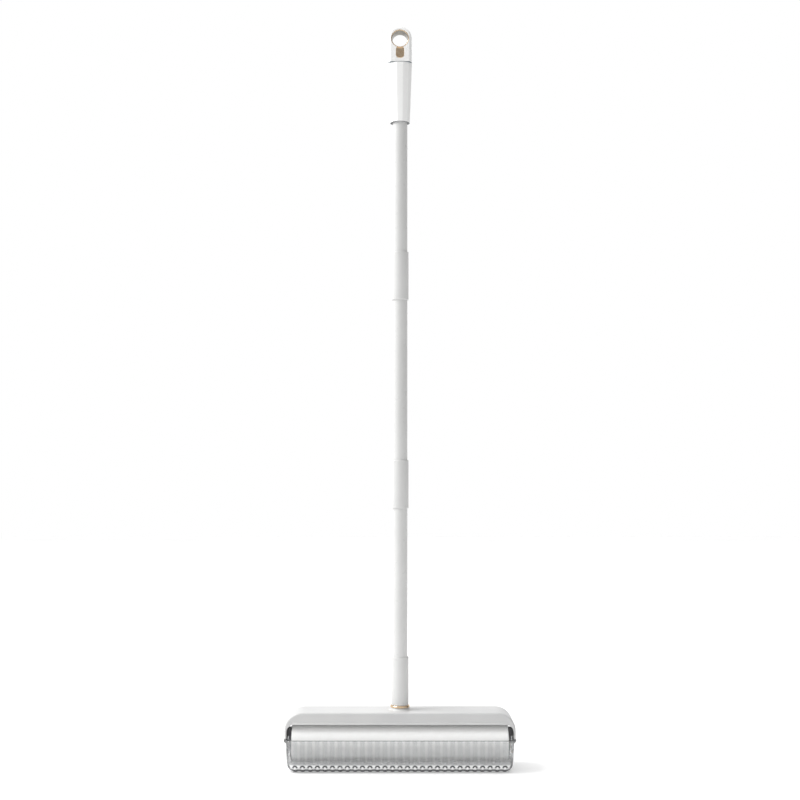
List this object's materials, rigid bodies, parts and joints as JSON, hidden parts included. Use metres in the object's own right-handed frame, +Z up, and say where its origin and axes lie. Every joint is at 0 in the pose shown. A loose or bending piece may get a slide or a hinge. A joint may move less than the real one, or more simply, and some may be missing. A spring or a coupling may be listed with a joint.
{
  "type": "carpet sweeper",
  "caption": "long-handled adhesive floor roller with a sectional pole, a hooded roller head, a clear fluted dust cover and a hanging eye",
  "frame": {"origin": "on the floor, under the middle of the dust cover", "axes": "X along the roller, +Y from the front to the back, +Z up the pole"},
  "size_m": [0.3398, 0.0816, 1.0935],
  "materials": {
    "clear_plastic": "clear moulded polystyrene",
    "white_shell": "satin white ABS",
    "white_inner": "moulded acetal",
    "dark_inner": "dark grey glass-filled nylon",
    "steel": "zinc plated",
    "coated_tube": "white powder coat on steel tube",
    "rose_metal": "polished rose-gold plate",
    "paper": "coated adhesive paper",
    "board": "wound board",
    "grip_plastic": "white moulded grip"
  },
  "bodies": {
    "cover": {"dust_cover": "clear_plastic"},
    "head": {"hood": "white_shell", "left_bracket": "dark_inner", "right_bracket": "dark_inner", "bracket_screws": "steel", "neck_spigot": "white_inner", "neck_screw": "steel", "neck_collar": "white_shell", "neck_ring": "rose_metal"},
    "roller": {"drum": "white_inner", "left_hub": "dark_inner", "right_hub": "white_inner", "spring_seat": "white_inner", "pin_spring": "steel", "paper_core": "board", "adhesive_roll": "paper"},
    "pin": {"sprung_pin": "steel"},
    "lower_pole": {"neck_sleeve": "white_shell", "lower_tube_plug": "white_inner", "lower_tube": "coated_tube", "middle_sleeve": "white_shell"},
    "middle_pole": {"middle_tube_plug": "white_inner", "middle_tube": "coated_tube", "upper_sleeve": "white_shell"},
    "upper_pole": {"upper_tube_plug": "white_inner", "upper_tube": "coated_tube", "grip": "grip_plastic", "hang_cap": "grip_plastic", "cap_liner": "rose_metal", "cap_tongue": "rose_metal"}
  },
  "joints": [
    {"name": "head_lift", "type": "slide", "parent": "cover", "child": "head", "axis": [0, 0, 1], "range_m": [0, 0.075]},
    {"name": "roller_spin", "type": "hinge", "parent": "head", "child": "roller", "pos_m": [0, 0, 0.0386], "axis": [1, 0, 0], "continuous": true},
    {"name": "pin_retract", "type": "slide", "parent": "roller", "child": "pin", "axis": [-1, 0, 0], "range_m": [0, 0.0035], "stiffness_N_per_m": 1200, "springref_m": -0.002, "deforming": ["pin_spring"]},
    {"name": "lower_section_pull", "type": "slide", "parent": "head", "child": "lower_pole", "axis": [0, 0, 1], "range_m": [0, 0.036]},
    {"name": "middle_section_pull", "type": "slide", "parent": "lower_pole", "child": "middle_pole", "axis": [0, 0, 1], "range_m": [0, 0.036]},
    {"name": "upper_section_pull", "type": "slide", "parent": "middle_pole", "child": "upper_pole", "axis": [0, 0, 1], "range_m": [0, 0.036]}
  ]
}
